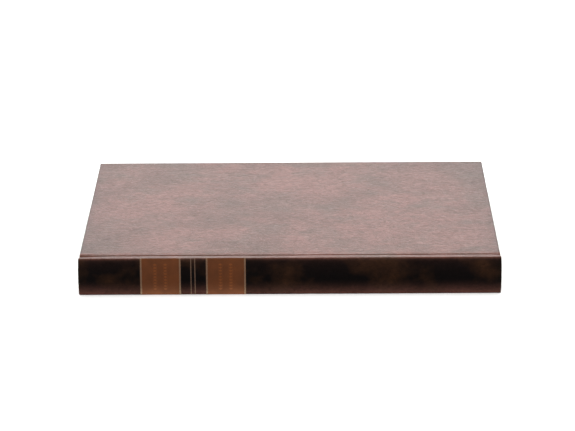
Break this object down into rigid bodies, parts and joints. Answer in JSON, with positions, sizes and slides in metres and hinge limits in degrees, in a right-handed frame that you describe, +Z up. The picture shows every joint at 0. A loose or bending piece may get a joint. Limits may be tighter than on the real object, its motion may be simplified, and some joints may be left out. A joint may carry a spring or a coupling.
{
  "type": "stamp album",
  "caption": "Hardback stockbook for stamps, closed: leatherette covers, labelled spine with gilt lines, and hinged card leaves with pocket strips.",
  "frame": {"origin": "bottom centre of the closed album's bounding box, on the surface it lies on", "axes": "+X along the spine from head to tail, -Y out of the spine's face, +Y towards the fore-edge, +Z up out of the front cover"},
  "size_m": [0.3064, 0.23, 0.028],
  "materials": {
    "greyboard": "grey pulp board, cut edges",
    "leatherette": "marbled dark brown leatherette, satin, fine grain",
    "label_leather": "tan leather label, blind tooled",
    "gilt": "worn hot-stamped gilt foil",
    "endpaper": "cream cartridge paper",
    "kraft_paper": "brown kraft paper",
    "mull": "starched open-weave cotton",
    "linen_tape": "woven linen tape",
    "hinge_linen": "white linen",
    "headband_cloth": "striped woven headband",
    "stock_card": "cream card, smooth",
    "glassine_strip": "translucent glassine, glossy",
    "glassine_sheet": "translucent glassine, glossy"
  },
  "bodies": {
    "back_cover": {"back_leatherette": "leatherette", "back_board": "greyboard", "back_pastedown": "endpaper", "back_flyleaf": "endpaper", "back_joint": "leatherette"},
    "spine": {"spine_leatherette": "leatherette", "spine_board": "greyboard", "spine_label_upper": "label_leather", "spine_label_lower": "label_leather", "gilt_lines": "gilt", "kraft_liner": "kraft_paper", "mull_lining": "mull", "sewing_tapes": "linen_tape", "guard_stubs": "stock_card", "linen_hinges": "hinge_linen", "headband_head": "headband_cloth", "headband_tail": "headband_cloth"},
    "front_cover": {"front_leatherette": "leatherette", "front_board": "greyboard", "front_pastedown": "endpaper", "front_flyleaf": "endpaper", "front_joint": "leatherette"},
    "leaf_01": {"leaf_01_card": "stock_card", "leaf_01_strips": "glassine_strip", "leaf_01_interleaf": "glassine_sheet"},
    "leaf_02": {"leaf_02_card": "stock_card", "leaf_02_strips": "glassine_strip", "leaf_02_interleaf": "glassine_sheet"},
    "leaf_03": {"leaf_03_card": "stock_card", "leaf_03_strips": "glassine_strip", "leaf_03_interleaf": "glassine_sheet"},
    "leaf_04": {"leaf_04_card": "stock_card", "leaf_04_strips": "glassine_strip", "leaf_04_interleaf": "glassine_sheet"},
    "leaf_05": {"leaf_05_card": "stock_card", "leaf_05_strips": "glassine_strip", "leaf_05_interleaf": "glassine_sheet"},
    "leaf_06": {"leaf_06_card": "stock_card", "leaf_06_strips": "glassine_strip", "leaf_06_interleaf": "glassine_sheet"},
    "leaf_07": {"leaf_07_card": "stock_card", "leaf_07_strips": "glassine_strip", "leaf_07_interleaf": "glassine_sheet"},
    "leaf_08": {"leaf_08_card": "stock_card", "leaf_08_strips": "glassine_strip", "leaf_08_interleaf": "glassine_sheet"},
    "leaf_09": {"leaf_09_card": "stock_card", "leaf_09_strips": "glassine_strip", "leaf_09_interleaf": "glassine_sheet"},
    "leaf_10": {"leaf_10_card": "stock_card", "leaf_10_strips": "glassine_strip", "leaf_10_interleaf": "glassine_sheet"},
    "leaf_11": {"leaf_11_card": "stock_card", "leaf_11_strips": "glassine_strip", "leaf_11_interleaf": "glassine_sheet"},
    "leaf_12": {"leaf_12_card": "stock_card", "leaf_12_strips": "glassine_strip", "leaf_12_interleaf": "glassine_sheet"}
  },
  "joints": [
    {"name": "spine_swing", "type": "hinge", "parent": "back_cover", "child": "spine", "pos_m": [0, -0.1128, 0.0022], "axis": [1, 0, 0], "range_deg": [0, 90], "deforming": ["back_joint", "front_joint", "linen_hinges"]},
    {"name": "front_cover_hinge", "type": "hinge", "parent": "spine", "child": "front_cover", "pos_m": [0, -0.1128, 0.0258], "axis": [1, 0, 0], "range_deg": [0, 90]},
    {"name": "leaf_01_turn", "type": "hinge", "parent": "spine", "child": "leaf_01", "pos_m": [0, -0.11005, 0.02335], "axis": [1, 0, 0], "range_deg": [0, 89.55]},
    {"name": "leaf_02_turn", "type": "hinge", "parent": "spine", "child": "leaf_02", "pos_m": [0, -0.10835, 0.02165], "axis": [1, 0, 0], "range_deg": [0, 89.1]},
    {"name": "leaf_03_turn", "type": "hinge", "parent": "spine", "child": "leaf_03", "pos_m": [0, -0.10665, 0.01995], "axis": [1, 0, 0], "range_deg": [0, 88.65]},
    {"name": "leaf_04_turn", "type": "hinge", "parent": "spine", "child": "leaf_04", "pos_m": [0, -0.10495, 0.01825], "axis": [1, 0, 0], "range_deg": [0, 88.2]},
    {"name": "leaf_05_turn", "type": "hinge", "parent": "spine", "child": "leaf_05", "pos_m": [0, -0.10325, 0.01655], "axis": [1, 0, 0], "range_deg": [0, 87.75]},
    {"name": "leaf_06_turn", "type": "hinge", "parent": "spine", "child": "leaf_06", "pos_m": [0, -0.10155, 0.01485], "axis": [1, 0, 0], "range_deg": [0, 87.3]},
    {"name": "leaf_07_turn", "type": "hinge", "parent": "spine", "child": "leaf_07", "pos_m": [0, -0.10155, 0.01315], "axis": [1, 0, 0], "range_deg": [-87.3, 0]},
    {"name": "leaf_08_turn", "type": "hinge", "parent": "spine", "child": "leaf_08", "pos_m": [0, -0.10325, 0.01145], "axis": [1, 0, 0], "range_deg": [-87.75, 0]},
    {"name": "leaf_09_turn", "type": "hinge", "parent": "spine", "child": "leaf_09", "pos_m": [0, -0.10495, 0.00975], "axis": [1, 0, 0], "range_deg": [-88.2, 0]},
    {"name": "leaf_10_turn", "type": "hinge", "parent": "spine", "child": "leaf_10", "pos_m": [0, -0.10665, 0.00805], "axis": [1, 0, 0], "range_deg": [-88.65, 0]},
    {"name": "leaf_11_turn", "type": "hinge", "parent": "spine", "child": "leaf_11", "pos_m": [0, -0.10835, 0.00635], "axis": [1, 0, 0], "range_deg": [-89.1, 0]},
    {"name": "leaf_12_turn", "type": "hinge", "parent": "spine", "child": "leaf_12", "pos_m": [0, -0.11005, 0.00465], "axis": [1, 0, 0], "range_deg": [-89.55, 0]}
  ],
  "couplings": [
    {"joint": "front_cover_hinge", "follows": "spine_swing", "ratio": 1},
    {"joint": "leaf_01_turn", "follows": "spine_swing", "ratio": 0.995},
    {"joint": "leaf_02_turn", "follows": "spine_swing", "ratio": 0.99},
    {"joint": "leaf_03_turn", "follows": "spine_swing", "ratio": 0.985},
    {"joint": "leaf_04_turn", "follows": "spine_swing", "ratio": 0.98},
    {"joint": "leaf_05_turn", "follows": "spine_swing", "ratio": 0.975},
    {"joint": "leaf_06_turn", "follows": "spine_swing", "ratio": 0.97},
    {"joint": "leaf_07_turn", "follows": "spine_swing", "ratio": -0.97},
    {"joint": "leaf_08_turn", "follows": "spine_swing", "ratio": -0.975},
    {"joint": "leaf_09_turn", "follows": "spine_swing", "ratio": -0.98},
    {"joint": "leaf_10_turn", "follows": "spine_swing", "ratio": -0.985},
    {"joint": "leaf_11_turn", "follows": "spine_swing", "ratio": -0.99},
    {"joint": "leaf_12_turn", "follows": "spine_swing", "ratio": -0.995}
  ]
}
